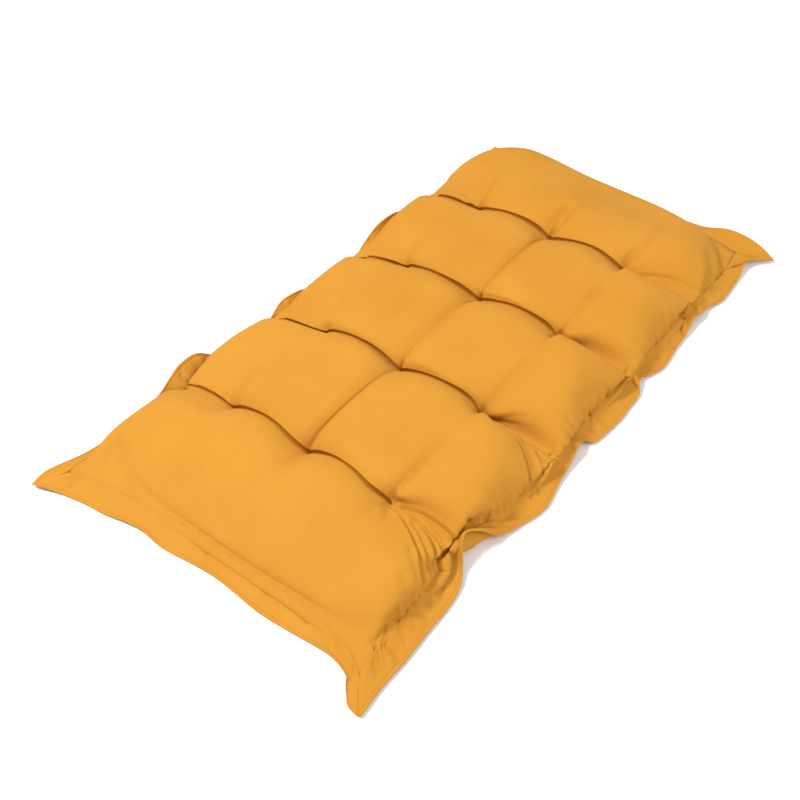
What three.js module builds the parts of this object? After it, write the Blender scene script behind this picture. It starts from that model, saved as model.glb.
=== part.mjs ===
// A tufted bench cushion: one stuffed cloth cover, pulled in by twelve tufts, with a flat
// double flange standing out past the seam that closes the stuffing in.
// Millimetres, +Z up. X runs along the bench and Y across it, with the front at -Y. The cushion
// lies on z = 0. Its sizes are measured from the middle of the tufts, and the finished mesh is
// moved so that the origin is under the middle of the cushion's outline.
import * as THREE from 'three';

// From the middle of the tufts to the middle of the outline.
const OUTLINE_MIDDLE = { x: -13.4, y: -13.1 };

// The height of the stuffed panels, and of the cloth where a tuft holds it down.
const CROWN_HEIGHT = 92;
const TUFT_TOP = 36;
const TUFT_UNDER = 18;
const TUFT_RADIUS = 30;

// The tufts: four rows of three.
const TUFT_ROWS = 4;
const TUFT_COLUMNS = 3;
const ROW_PITCH = 216;
const COLUMN_PITCH = 149;

// The flange is both layers of the cover with the turned-in allowance between them.
const FLANGE_WIDTH = 40;
const FLANGE_THICKNESS = 3;

// The creases that run from tuft to tuft, and how far they reach below the crown.
const ROW_CREASE = { depth: 25, power: 3.2 };
const COLUMN_CREASE = { depth: 15, power: 3.2 };
const UNDER_CREASE = 3;

// How far in from the seam each panel is still curving up to its crown, or down to its rest.
const EDGE_REACH = { end: 145, side: 112, under: 62 };
const EDGE_POWER = 2.2;
const EDGE_ROOT = 0.6;

// The closing seam on each side. at is the place along the side, out is how far it stands from
// the middle of the tufts, and lift is its height. First and last rows are the corners.
const SEAM = {
  near: [
    { at: -276, out: 549, lift: 10 },
    { at: -234, out: 527, lift: 14 },
    { at: -152, out: 517, lift: 18 },
    { at: -74, out: 519, lift: 18 },
    { at: 35, out: 519, lift: 18 },
    { at: 150, out: 529, lift: 17 },
    { at: 210, out: 534, lift: 14 },
    { at: 268, out: 549, lift: 10 },
  ],
  front: [
    { at: -549, out: 276, lift: 10 },
    { at: -467, out: 273, lift: 20 },
    { at: -390, out: 270, lift: 23 },
    { at: -326, out: 257, lift: 26 },
    { at: -236, out: 275, lift: 23 },
    { at: -162, out: 279, lift: 22 },
    { at: -97, out: 273, lift: 25 },
    { at: -10, out: 275, lift: 22 },
    { at: 60, out: 276, lift: 22 },
    { at: 125, out: 271, lift: 25 },
    { at: 223, out: 276, lift: 22 },
    { at: 310, out: 270, lift: 25 },
    { at: 418, out: 277, lift: 20 },
    { at: 524, out: 270, lift: 12 },
  ],
  far: [
    { at: -270, out: 524, lift: 12 },
    { at: -220, out: 526, lift: 16 },
    { at: -160, out: 523, lift: 18 },
    { at: -105, out: 529, lift: 18 },
    { at: -60, out: 524, lift: 18 },
    { at: 40, out: 530, lift: 18 },
    { at: 130, out: 528, lift: 18 },
    { at: 200, out: 527, lift: 14 },
    { at: 250, out: 536, lift: 10 },
  ],
  back: [
    { at: -549, out: 268, lift: 10 },
    { at: -490, out: 256, lift: 18 },
    { at: -436, out: 250, lift: 22 },
    { at: -320, out: 244, lift: 28 },
    { at: -216, out: 246, lift: 24 },
    { at: -108, out: 236, lift: 28 },
    { at: 0, out: 238, lift: 24 },
    { at: 108, out: 232, lift: 28 },
    { at: 216, out: 240, lift: 28 },
    { at: 324, out: 236, lift: 28 },
    { at: 430, out: 242, lift: 22 },
    { at: 536, out: 250, lift: 10 },
  ],
};

// The hem of the flange on each side. out is now how far it stands from the seam. First and last
// rows are the flange's corners, which reach past the seam's.
const HEM = {
  near: [
    { at: -311, out: 41, lift: 2 },
    { at: -268, out: 21, lift: 6 },
    { at: -246, out: 21, lift: 9 },
    { at: -217, out: 24, lift: 6 },
    { at: -164, out: 34, lift: 2 },
    { at: -109, out: 36, lift: 2 },
    { at: 1, out: 30, lift: 4 },
    { at: 67, out: 38, lift: 2 },
    { at: 117, out: 30, lift: 7 },
    { at: 206, out: 36, lift: 2 },
    { at: 250, out: 38, lift: 2 },
    { at: 294, out: 45, lift: 8 },
  ],
  front: [
    { at: -590, out: 35, lift: 2 },
    { at: -494, out: 34, lift: 2 },
    { at: -394, out: 33, lift: 3 },
    { at: -362, out: 32, lift: 12 },
    { at: -331, out: 30, lift: 44 },
    { at: -300, out: 27, lift: 18 },
    { at: -268, out: 22, lift: 3 },
    { at: -224, out: 28, lift: 2 },
    { at: -178, out: 35, lift: 2 },
    { at: -128, out: 30, lift: 6 },
    { at: -58, out: 24, lift: 26 },
    { at: -36, out: 30, lift: 3 },
    { at: 35, out: 34, lift: 2 },
    { at: 106, out: 33, lift: 4 },
    { at: 136, out: 22, lift: 16 },
    { at: 188, out: 32, lift: 2 },
    { at: 245, out: 25, lift: 3 },
    { at: 338, out: 22, lift: 15 },
    { at: 397, out: 30, lift: 2 },
    { at: 473, out: 26, lift: 3 },
    { at: 520, out: 30, lift: 6 },
    { at: 552, out: 57, lift: 4 },
  ],
  far: [
    { at: -327, out: 28, lift: 4 },
    { at: -262, out: 34, lift: 6 },
    { at: -180, out: 34, lift: 2 },
    { at: -90, out: 30, lift: 8 },
    { at: 10, out: 34, lift: 2 },
    { at: 105, out: 30, lift: 7 },
    { at: 190, out: 35, lift: 2 },
    { at: 280, out: 28, lift: 4 },
  ],
  back: [
    { at: -594, out: 26, lift: 8 },
    { at: -560, out: 38, lift: 3 },
    { at: -500, out: 32, lift: 2 },
    { at: -400, out: 28, lift: 6 },
    { at: -345, out: 20, lift: 40 },
    { at: -290, out: 24, lift: 52 },
    { at: -225, out: 26, lift: 20 },
    { at: -165, out: 32, lift: 4 },
    { at: -105, out: 14, lift: 48 },
    { at: -40, out: 30, lift: 8 },
    { at: 60, out: 28, lift: 6 },
    { at: 130, out: 18, lift: 46 },
    { at: 200, out: 18, lift: 52 },
    { at: 285, out: 16, lift: 44 },
    { at: 330, out: 26, lift: 12 },
    { at: 385, out: 16, lift: 48 },
    { at: 450, out: 30, lift: 10 },
    { at: 564, out: 30, lift: 4 },
  ],
};

// Mesh fineness: steps between neighbouring creases, and rings across the flange.
const STEPS_PER_ROW = 9;
const STEPS_PER_COLUMN = 7;
const FLANGE_RINGS = 3;

const { clamp, lerp } = THREE.MathUtils;

// Tuft places along one axis.
function tuftLines(count, pitch) {
  return Array.from({ length: count }, (_, i) => (i - (count - 1) / 2) * pitch);
}

const ROWS = tuftLines(TUFT_ROWS, ROW_PITCH);
const COLUMNS = tuftLines(TUFT_COLUMNS, COLUMN_PITCH);

// One column of a table, read at any place on a smooth curve through its rows.
function readTable(rows, at, column) {
  const last = rows.length - 1;
  const found = rows.findIndex((row) => at <= row.at);
  const i = clamp(found < 0 ? last : found, 1, last) - 1;
  const slope = (j) => {
    const before = rows[Math.max(0, j - 1)];
    const after = rows[Math.min(last, j + 1)];
    return (after[column] - before[column]) / (after.at - before.at);
  };
  const [from, to] = [rows[i], rows[i + 1]];
  const span = to.at - from.at;
  const t = clamp((at - from.at) / span, 0, 1);
  const [t2, t3] = [t * t, t * t * t];
  return (
    from[column] * (2 * t3 - 3 * t2 + 1) + to[column] * (3 * t2 - 2 * t3) +
    slope(i) * span * (t3 - 2 * t2 + t) + slope(i + 1) * span * (t3 - t2)
  );
}

// 0 on a crease line and 1 from half a pitch away, to either side of the nearest line.
function fromCrease(value, lines, pitch) {
  const nearest = Math.min(...lines.map((line) => Math.abs(value - line)));
  return clamp(nearest / (pitch / 2), 0, 1);
}

// How far a panel has risen at a distance from the seam: it leaves the seam steeply.
function edgeRise(distance, reach) {
  const t = clamp(distance / reach, 0, 1);
  return (1 - (1 - t) ** EDGE_POWER) ** EDGE_ROOT;
}

// Grid lines from seam to seam, closer together beside each crease and the seam.
function gridLines(stops, steps) {
  const lines = [{ section: 0, t: 0 }];
  for (let section = 0; section < stops - 1; section += 1) {
    for (let k = 1; k <= steps; k += 1) {
      lines.push({ section, t: (1 - Math.cos((Math.PI * k) / steps)) / 2 });
    }
  }
  return lines;
}

function lineAt({ section, t }, stops) {
  return lerp(stops[section], stops[section + 1], t);
}

// One point of the stuffed body in plan, with its distances from the seam. along and across run
// from -1 to 1 between opposite seams.
function planPoint(lineX, lineY) {
  const flatX = lineAt(lineX, [-SEAM.near[0].out, ...ROWS, SEAM.far[0].out]);
  const flatY = lineAt(lineY, [-SEAM.front[0].out, ...COLUMNS, SEAM.back[0].out]);
  const near = -readTable(SEAM.near, flatY, 'out');
  const far = readTable(SEAM.far, flatY, 'out');
  const front = -readTable(SEAM.front, flatX, 'out');
  const back = readTable(SEAM.back, flatX, 'out');
  const x = lineAt(lineX, [near, ...ROWS, far]);
  const y = lineAt(lineY, [front, ...COLUMNS, back]);
  return {
    x,
    y,
    along: (2 * (x - near)) / (far - near) - 1,
    across: (2 * (y - front)) / (back - front) - 1,
    toEnd: Math.min(x - near, far - x),
    toSide: Math.min(y - front, back - y),
  };
}

// The height that the panels leave the seam at: that of the nearest side's seam.
function seamHeight({ x, y, along, across }) {
  const side = readTable(across < 0 ? SEAM.front : SEAM.back, x, 'lift');
  const end = readTable(along < 0 ? SEAM.near : SEAM.far, y, 'lift');
  const sideShare = clamp((Math.abs(across) - Math.abs(along)) * 4 + 0.5, 0, 1);
  return lerp(end, side, sideShare);
}

// The dips below the crown: creases from tuft to tuft, and a dimple at each tuft. The creases
// along the bench fade out past the first and last rows.
function creaseDip(x, y) {
  const offRow = fromCrease(x, ROWS, ROW_PITCH);
  const offColumn = fromCrease(y, COLUMNS, COLUMN_PITCH);
  const pastRows = Math.max(0, Math.abs(x) - ROWS[TUFT_ROWS - 1]);
  const fade = Math.exp(-((pastRows / (ROW_PITCH / 4)) ** 2));
  const row = ROW_CREASE.depth * (1 - offRow) ** ROW_CREASE.power;
  const column = COLUMN_CREASE.depth * (1 - offColumn) ** COLUMN_CREASE.power * fade;
  return row + column;
}

function tuftPull(x, y) {
  const nearestX = Math.min(...ROWS.map((row) => Math.abs(x - row)));
  const nearestY = Math.min(...COLUMNS.map((column) => Math.abs(y - column)));
  return Math.exp(-Math.hypot(nearestX, nearestY) / TUFT_RADIUS);
}

function topHeight(point) {
  const rise = edgeRise(point.toEnd, EDGE_REACH.end) * edgeRise(point.toSide, EDGE_REACH.side);
  const dimple = CROWN_HEIGHT - TUFT_TOP - ROW_CREASE.depth - COLUMN_CREASE.depth;
  const dip = creaseDip(point.x, point.y) + dimple * tuftPull(point.x, point.y);
  return lerp(seamHeight(point) + FLANGE_THICKNESS / 2, CROWN_HEIGHT - dip, rise);
}

function underHeight(point) {
  const edge = edgeRise(point.toEnd, EDGE_REACH.under) * edgeRise(point.toSide, EDGE_REACH.under);
  const crease = creaseDip(point.x, point.y) / (ROW_CREASE.depth + COLUMN_CREASE.depth);
  const lift = UNDER_CREASE * (crease - 0.5) + TUFT_UNDER * tuftPull(point.x, point.y) ** 2;
  return Math.max(0, lerp(seamHeight(point) - FLANGE_THICKNESS / 2, lift, edge));
}

// The body's grid of plan points, and the grid's rim in order round the cushion.
function bodyGrid() {
  const linesX = gridLines(TUFT_ROWS + 2, STEPS_PER_ROW);
  const linesY = gridLines(TUFT_COLUMNS + 2, STEPS_PER_COLUMN);
  const points = linesX.map((lineX) => linesY.map((lineY) => planPoint(lineX, lineY)));
  const [lastX, lastY] = [linesX.length - 1, linesY.length - 1];
  const rim = [];
  for (let i = 0; i < lastX; i += 1) rim.push({ i, j: 0, side: 'front' });
  for (let j = 0; j < lastY; j += 1) rim.push({ i: lastX, j, side: 'far' });
  for (let i = lastX; i > 0; i -= 1) rim.push({ i, j: lastY, side: 'back' });
  for (let j = lastY; j > 0; j -= 1) rim.push({ i: 0, j, side: 'near' });
  return { points, rim, lastX, lastY };
}

// Which way each side faces in plan.
const FACING = {
  near: { x: -1, y: 0 },
  front: { x: 0, y: -1 },
  far: { x: 1, y: 0 },
  back: { x: 0, y: 1 },
};

// The hem point that a seam point's cloth runs out to. Near a corner the hem runs on past the
// seam, to the corner of the flange.
function hemPoint(seam, side) {
  const rows = HEM[side];
  const facing = FACING[side];
  const place = facing.x === 0 ? seam.x : seam.y;
  const share = facing.x === 0 ? seam.along : seam.across;
  const corner = share < 0 ? rows[0].at : rows[rows.length - 1].at;
  const at = lerp(place, corner, Math.abs(share) ** 14);
  const out = readTable(rows, at, 'out');
  const lift = Math.max(FLANGE_THICKNESS / 2, readTable(rows, at, 'lift'));
  return facing.x === 0
    ? new THREE.Vector3(at, seam.y + facing.y * out, lift)
    : new THREE.Vector3(seam.x + facing.x * out, at, lift);
}

// The flange's middle surface: a curved strip from each seam point to its hem point. Where the
// hem stands closer than the flange is wide, the cloth between them bows up.
function flangeStrip(seamPoint, hem) {
  const chord = seamPoint.distanceTo(hem);
  const slack = Math.max(0, FLANGE_WIDTH - chord);
  const bow = Math.min(FLANGE_WIDTH / 5, Math.sqrt((3 / 8) * chord * slack));
  return Array.from({ length: FLANGE_RINGS + 1 }, (_, ring) => {
    const t = ring / FLANGE_RINGS;
    const point = seamPoint.clone().lerp(hem, t);
    point.z += bow * 4 * t * (1 - t);
    return point;
  });
}

// Unit normals of a closed run of strips, pointing up.
function stripNormals(strips) {
  const count = strips.length;
  return strips.map((strip, k) => strip.map((point, ring) => {
    const before = strips[(k + count - 1) % count][ring];
    const after = strips[(k + 1) % count][ring];
    const inner = strip[Math.max(0, ring - 1)];
    const outer = strip[Math.min(strip.length - 1, ring + 1)];
    const normal = outer.clone().sub(inner).cross(after.clone().sub(before)).normalize();
    return normal.z < 0 ? normal.negate() : normal;
  }));
}

// A closed shell, gathered as shared vertices and faces.
class Shell {
  constructor() {
    this.positions = [];
    this.indices = [];
  }

  vertex(x, y, z) {
    this.positions.push(x, y, z);
    return this.positions.length / 3 - 1;
  }

  quad(a, b, c, d) {
    this.indices.push(a, b, c, a, c, d);
  }

  // Joins two closed loops of vertices that run the same way round.
  band(inner, outer) {
    const count = inner.length;
    for (let k = 0; k < count; k += 1) {
      const next = (k + 1) % count;
      this.quad(inner[k], outer[k], outer[next], inner[next]);
    }
  }

  geometry() {
    const geometry = new THREE.BufferGeometry();
    geometry.setAttribute('position', new THREE.Float32BufferAttribute(this.positions, 3));
    geometry.setIndex(this.indices);
    geometry.computeVertexNormals();
    return geometry;
  }
}

// The top and under panels of the body, as two grids of vertices that share no edge yet.
function addPanels(shell, { points, lastX, lastY }) {
  const top = points.map((line) => line.map((p) => shell.vertex(p.x, p.y, topHeight(p))));
  const under = points.map((line) => line.map((p) => shell.vertex(p.x, p.y, underHeight(p))));
  for (let i = 0; i < lastX; i += 1) {
    for (let j = 0; j < lastY; j += 1) {
      shell.quad(top[i][j], top[i + 1][j], top[i + 1][j + 1], top[i][j + 1]);
      shell.quad(under[i][j], under[i][j + 1], under[i + 1][j + 1], under[i + 1][j]);
    }
  }
  return { top, under };
}

// The flange, from the rims of both panels out to the hem, where its two faces meet.
function addFlange(shell, { points, rim }, { top, under }) {
  const strips = rim.map(({ i, j, side }) => {
    const seam = points[i][j];
    return flangeStrip(new THREE.Vector3(seam.x, seam.y, seamHeight(seam)), hemPoint(seam, side));
  });
  const normals = stripNormals(strips);
  const ringAt = (ring, offset) => strips.map((strip, k) => {
    const point = strip[ring].clone().addScaledVector(normals[k][ring], offset);
    return shell.vertex(point.x, point.y, Math.max(0, point.z));
  });
  let above = rim.map(({ i, j }) => top[i][j]);
  let below = rim.map(({ i, j }) => under[i][j]);
  for (let ring = 1; ring <= FLANGE_RINGS; ring += 1) {
    const nextAbove = ringAt(ring, FLANGE_THICKNESS / 2);
    const nextBelow = ringAt(ring, -FLANGE_THICKNESS / 2);
    shell.band(above, nextAbove);
    shell.band(nextBelow, below);
    [above, below] = [nextAbove, nextBelow];
  }
  shell.band(above, below);
}

function cushionGeometry() {
  const shell = new Shell();
  const grid = bodyGrid();
  const panels = addPanels(shell, grid);
  addFlange(shell, grid, panels);
  return shell.geometry();
}

const cloth = new THREE.MeshStandardMaterial({ color: 0xf0a742, roughness: 0.85, metalness: 0 });

const cushion = new THREE.Mesh(cushionGeometry(), cloth);
cushion.name = 'cushion';
cushion.position.set(-OUTLINE_MIDDLE.x, -OUTLINE_MIDDLE.y, 0);

const group = new THREE.Group();
group.name = 'bench_cushion';
group.add(cushion);

export default group;
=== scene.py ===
import math

import bpy
import numpy as np
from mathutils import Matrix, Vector


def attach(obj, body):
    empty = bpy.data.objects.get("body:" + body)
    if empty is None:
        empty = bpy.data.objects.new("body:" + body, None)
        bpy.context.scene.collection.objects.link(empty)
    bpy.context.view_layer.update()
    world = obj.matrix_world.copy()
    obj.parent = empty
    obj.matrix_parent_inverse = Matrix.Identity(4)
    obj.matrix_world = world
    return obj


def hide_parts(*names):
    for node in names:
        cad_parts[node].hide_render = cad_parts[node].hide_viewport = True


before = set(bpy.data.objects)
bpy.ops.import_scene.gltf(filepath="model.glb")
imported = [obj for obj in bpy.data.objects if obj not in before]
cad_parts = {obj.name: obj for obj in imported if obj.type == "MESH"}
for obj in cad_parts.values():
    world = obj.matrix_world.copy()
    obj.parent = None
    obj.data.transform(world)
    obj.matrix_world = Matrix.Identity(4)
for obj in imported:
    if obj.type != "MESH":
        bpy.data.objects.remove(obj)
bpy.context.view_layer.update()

# Sizes are in mm from the middle of the tufts, until a mesh is made of them
MM = 0.001
TUFT_MIDDLE = (13.4, 13.1, 0.0)      # where the middle of the tufts lies in the part's own frame
ROWS = (-332.0, -118.0, 95.5, 309.5)
COLUMNS = (-155.4, -8.0, 139.2)
TUFT_TOP = 48.0
TUFT_UNDER = 17.0
FRONT_SEAM, BACK_SEAM = -276.0, 245.0
BODY_LONG, BODY_WIDE = 1160.0, 580.0

# The camera, in metres and radians, and the directions across, up and into its picture
CAMERA = (-1.09031, -0.75573, 1.21244)
AZIMUTH, ELEVATION = -0.9124694, 0.7764141
SEEN_RIGHT = np.array((0.6118, -0.7910, 0.0))
SEEN_UP = np.array((0.5543, 0.4287, 0.7134))
SEEN_AHEAD = np.cross(SEEN_UP, SEEN_RIGHT)
SEEN_FROM = 1800.0
EYE = np.array(CAMERA) / MM - TUFT_MIDDLE

# Cloth between the lines of the flat pattern, and the cells of the finest relaxed grid there
PATTERN_X = (248.0, 273.0, 273.0, 273.0, 268.0)
PATTERN_Y = (148.0, 160.0, 160.0, 144.0)
CELLS_X = (44, 48, 48, 48, 44)
CELLS_Y = (32, 32, 32, 32)
CELL = 5.0


def table(text):
    """Rows of numbers, with a comma between one row and the next."""
    return [tuple(float(v) for v in row.split()) for row in text.split(",")]


# The seam, round the body: x, y, z of the points it runs through
SEAM = {
    "front": table("""
    -549 -276 10, -505 -273 15, -467 -273 20, -404 -269 22, -372 -266 18, -345 -258 20, -326 -256 29,
    -305 -259 36, -276 -265 26, -240 -275 22, -200 -278 20, -158 -279 20, -118 -276 25, -95 -274 31,
    -57 -277 25, -10 -275 20, 30 -273 20, 60 -274 21, 98 -272 25, 122 -273 32, 150 -271 24, 190 -274 20,
    225 -275 20, 262 -273 22, 294 -268 26, 326 -268 34, 358 -274 25, 400 -277 20, 440 -277 18, 485 -273 15,
    524 -270 12
    """),
    "far": table("""
    524 -270 12, 528 -220 20, 526 -160 24, 531 -105 24, 527 -60 24, 532 0 24, 530 60 24, 530 130 24, 530 200 18,
    536 250 10
    """),
    "back": table("""
    -549 268 10, -490 256 18, -436 250 22, -372 246 22, -330 240 32, -290 243 27, -216 246 22, -150 240 24,
    -108 235 33, -60 238 26, 0 238 22, 60 236 24, 108 231 33, 160 236 26, 216 240 24, 280 238 26, 324 235 34,
    372 240 25, 430 242 20, 490 245 16, 536 250 10
    """),
    "near": table("""
    -549 -276 10, -527 -234 14, -517 -152 18, -519 -74 18, -519 35 18, -529 150 17, -534 210 14, -549 268 10
    """),
}

# The hem, round the flange
HEM = {
    "front": table("""
    -590 -312 6, -543 -308 5, -494 -308 5, -443 -305 5, -393 -303 5, -360 -296 7, -338 -283 14, -326 -272 36,
    -310 -266 46, -288 -276 36, -272 -288 20, -258 -293 9, -223 -303 5, -178 -313 5, -128 -304 6, -85 -298 11,
    -58 -294 22, -36 -292 12, -22 -303 6, 35 -309 5, 80 -307 5, 106 -305 6, 120 -296 14, 139 -291 10,
    160 -298 6, 189 -305 5, 246 -299 6, 278 -297 9, 312 -293 16, 338 -296 14, 362 -294 9, 399 -304 5,
    440 -302 6, 474 -299 7, 505 -294 16, 528 -304 14, 554 -327 7
    """),
    "far": table("""
    554 -327 7, 560 -300 18, 562 -268 26, 562 -230 26, 558 -180 14, 560 -90 10, 562 10 2, 560 105 7, 562 190 2,
    564 240 3, 565 280 3
    """),
    "back": table("""
    -594 294 8, -560 302 3, -500 284 3, -440 280 3, -395 275 8, -365 267 30, -345 263 49, -315 269 55,
    -280 271 50, -248 268 25, -215 272 6, -165 270 3, -136 251 32, -105 252 49, -70 252 47, -40 255 34,
    -10 262 12, 60 263 5, 92 255 22, 118 253 43, 155 256 54, 200 258 52, 245 257 40, 285 256 44, 312 251 30,
    340 258 10, 362 255 36, 390 250 50, 420 246 34, 450 258 14, 500 272 6, 565 280 3
    """),
    "near": table("""
    -590 -312 3, -591 -303 3, -587 -288 3, -573 -275 3, -560 -265 4, -551 -246 4, -547 -217 4, -551 -164 2,
    -554 -109 2, -549 -40 3, -550 1 3, -557 67 2, -555 117 6, -566 176 3, -569 206 2, -578 250 3, -590 280 9,
    -594 294 8
    """),
}


def running(steps):
    """The running total of some steps, from 0."""
    return np.concatenate([[0], np.cumsum(steps)])


def steps_of(line):
    return np.linalg.norm(np.diff(line, axis=0), axis=1)


def limited(share):
    return np.clip(share, 0, 1)


def unit(vectors):
    return vectors / np.maximum(np.linalg.norm(vectors, axis=-1, keepdims=True), 1e-9)


def lower(q, top, share):
    """Draws the cloth q down towards a height, wherever it stands above it."""
    q[..., 2] -= np.maximum(q[..., 2] - top, 0) * share


def hermite(t, start, leave, end, arrive):
    """A smooth way from start to end, by the slopes that it leaves and arrives with."""
    return ((2 * t**3 - 3 * t**2 + 1) * start + (t**3 - 2 * t**2 + t) * leave
            + (3 * t**2 - 2 * t**3) * end + (t**3 - t**2) * arrive)


def arched(t, power):
    """0 at each whole number and 1 midway between two of them."""
    b = t % 1
    return (4 * b * (1 - b)) ** power


def eased(t):
    t = limited(t)
    return t * t * (3 - 2 * t)


def along(points, count_each=24):
    """A smooth line through the points, and the length of cloth from its start to each point of it."""
    p = np.asarray(points, float)
    before = np.vstack([2 * p[0] - p[1], p[:-1]])
    after = np.vstack([p[1:], 2 * p[-1] - p[-2]])
    slope = (after - before) / 2
    t = np.linspace(0, 1, count_each, endpoint=False)[:, None]
    parts = [hermite(t, p[i], slope[i], p[i + 1], slope[i + 1]) for i in range(len(p) - 1)]
    line = np.vstack([*parts, p[-1:]])
    return line, running(steps_of(line))


def spread(points, marks, axis, shares):
    """Points of a line for the grid's own lines: marks are where along the axis the tuft lines cross it, and
    shares say how far along its section each point is."""
    line, length = along(points)
    beyond = [np.nonzero(line[:, axis] >= mark)[0][0] for mark in marks]
    stops = [0.0, *length[beyond], length[-1]]
    at = [0.0]
    for section, share in enumerate(shares):
        at += list(stops[section] + (stops[section + 1] - stops[section]) * share)
    return np.stack([np.interp(at, length, line[:, k]) for k in range(3)], -1)


def four_sides(table, x, y):
    """The front, far, back and near lines of a table, at the grid's own places."""
    front, back = (spread(table[side], ROWS, 0, x) for side in ("front", "back"))
    far, near = (spread(table[side], COLUMNS, 1, y) for side in ("far", "near"))
    return front, far, back, near


class Panel:
    """The body's two panels of cloth on one grid of threads, at one fineness."""

    SEAM_REACH, SEAM_FADE = 120.0, 1.5

    def __init__(self, step):
        self.cells_x = [c // step for c in CELLS_X]
        self.cells_y = [c // step for c in CELLS_Y]
        self.rows = np.cumsum(self.cells_x)[:-1]
        self.columns = np.cumsum(self.cells_y)[:-1]
        self.tufts = [(r, c, x, y) for r, x in zip(self.rows, ROWS) for c, y in zip(self.columns, COLUMNS)]
        x, y = ([np.arange(1, n + 1) / n for n in cells] for cells in (self.cells_x, self.cells_y))
        self.front, self.far, self.back, self.near = four_sides(SEAM, x, y)
        self.nx, self.ny = len(self.front), len(self.near)
        self.spacing = CELL * step
        self.rest_x, self.rest_y = self.rest_lengths()

    def rest_lengths(self):
        """The threads' lengths between neighbours: the pattern's inside, and the seam's own at the edges."""
        dx = np.concatenate([np.full(c, p / c) for c, p in zip(self.cells_x, PATTERN_X)])
        dy = np.concatenate([np.full(c, p / c) for c, p in zip(self.cells_y, PATTERN_Y)])

        def blended(inside, count, size, start, end):
            share = np.arange(count) / (count - 1)
            a, b = (limited(1 - s * size / self.SEAM_REACH) ** self.SEAM_FADE for s in (share, 1 - share))
            return inside[:, None] * (1 - a - b) + steps_of(start)[:, None] * a + steps_of(end)[:, None] * b

        return (blended(dx, self.ny, BODY_WIDE, self.front, self.back),
                blended(dy, self.nx, BODY_LONG, self.near, self.far).T)


def first_shape(panel):
    """Both panels, filled: flat between the seam's lines, and raised into a crown."""
    near, far, front, back = -532, 528, -275, 245
    seam_lift, crown = 20.0, 90

    def rise(d, reach):
        return (1 - (1 - limited(d / reach)) ** 2.2) ** 0.6

    i, j = np.arange(panel.nx), np.arange(panel.ny)
    rows, columns = [0, *panel.rows, panel.nx - 1], [0, *panel.columns, panel.ny - 1]
    x_lines = np.interp(i, rows, [near, *ROWS, far])
    y_lines = np.interp(j, columns, [front, *COLUMNS, back])
    points = np.zeros((2, panel.nx, panel.ny, 3))
    for k in range(panel.nx):
        points[:, k, :, 1] = np.interp(j, columns, [panel.front[k, 1], *COLUMNS, panel.back[k, 1]])
    for k in range(panel.ny):
        points[:, :, k, 0] = np.interp(i, rows, [panel.near[k, 0], *ROWS, panel.far[k, 0]])
    to_end = np.minimum(x_lines - near, far - x_lines)[:, None]
    to_side = np.minimum(y_lines - front, back - y_lines)[None, :]
    to_row = np.abs(x_lines[:, None, None] - ROWS).min(-1)
    to_column = np.abs(y_lines[None, :, None] - COLUMNS).min(-1)
    pull = np.exp(-np.hypot(to_row, to_column) / 30)
    dip = 25 * limited(1 - to_row / 108) ** 3.2 + 12 * limited(1 - to_column / 74) ** 3.2
    top = crown - dip - 14 * pull
    points[0, :, :, 2] = seam_lift + (top - seam_lift) * rise(to_end, 140) * rise(to_side, 112)
    flat = rise(to_end, 62) * rise(to_side, 62)
    points[1, :, :, 2] = np.maximum(0, seam_lift + (TUFT_UNDER * pull**2 - seam_lift) * flat)
    return points


def finer(points):
    """Twice as many cells both ways, by the midpoints."""
    for axis in (1, 2):
        p = np.moveaxis(points, axis, 0)
        out = np.empty((2 * len(p) - 1, *p.shape[1:]))
        out[::2] = p
        out[1::2] = (p[:-1] + p[1:]) / 2
        points = np.moveaxis(out, 0, axis)
    return points


# How far a crease rises between two tufts, in the front and the back half of a row and along the columns, and
# how sharply it leaves them
ROW_SADDLE, ROW_SHARPNESS = (27.0, 26.0), 0.6
COLUMN_SADDLE, COLUMN_SHARPNESS = (41.5, 34.5, 45.5), (0.25, 0.4, 0.3)
# The filling pushes the top no higher than this, and softly
CEILING = 89.0
# The slope of the near section, from its end seam up
NEAR_SLOPE = {"from": 524.0, "reach": 185.0, "low": 19.0, "power": 0.95}
# Beside the outer tufts each row opens into a fan of loose cloth: how far it lies open at the seam, to the near
# and the far side of the row, its reach, how softly its two shoulders turn, its fall to the seam and its swell
FRONT_FANS = ((-72.0, 16.0), (-46.5, 18.5), (16.0, 36.0), (22.5, 64.5))
BACK_FANS = ((-2.0, 20.0), (0.0, 22.0), (2.0, 24.0), (4.5, 30.5))
FAN = {"reach": 140, "near": 9.0, "far": 46.0, "fall": 15.0, "swell": 15.0}
# How far a tuft draws in the cloth round it, how wide its pit is, and how much longer than wide
TUFT = {"reach": 80.0, "spread": 12.0, "length": 1.5}


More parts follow.
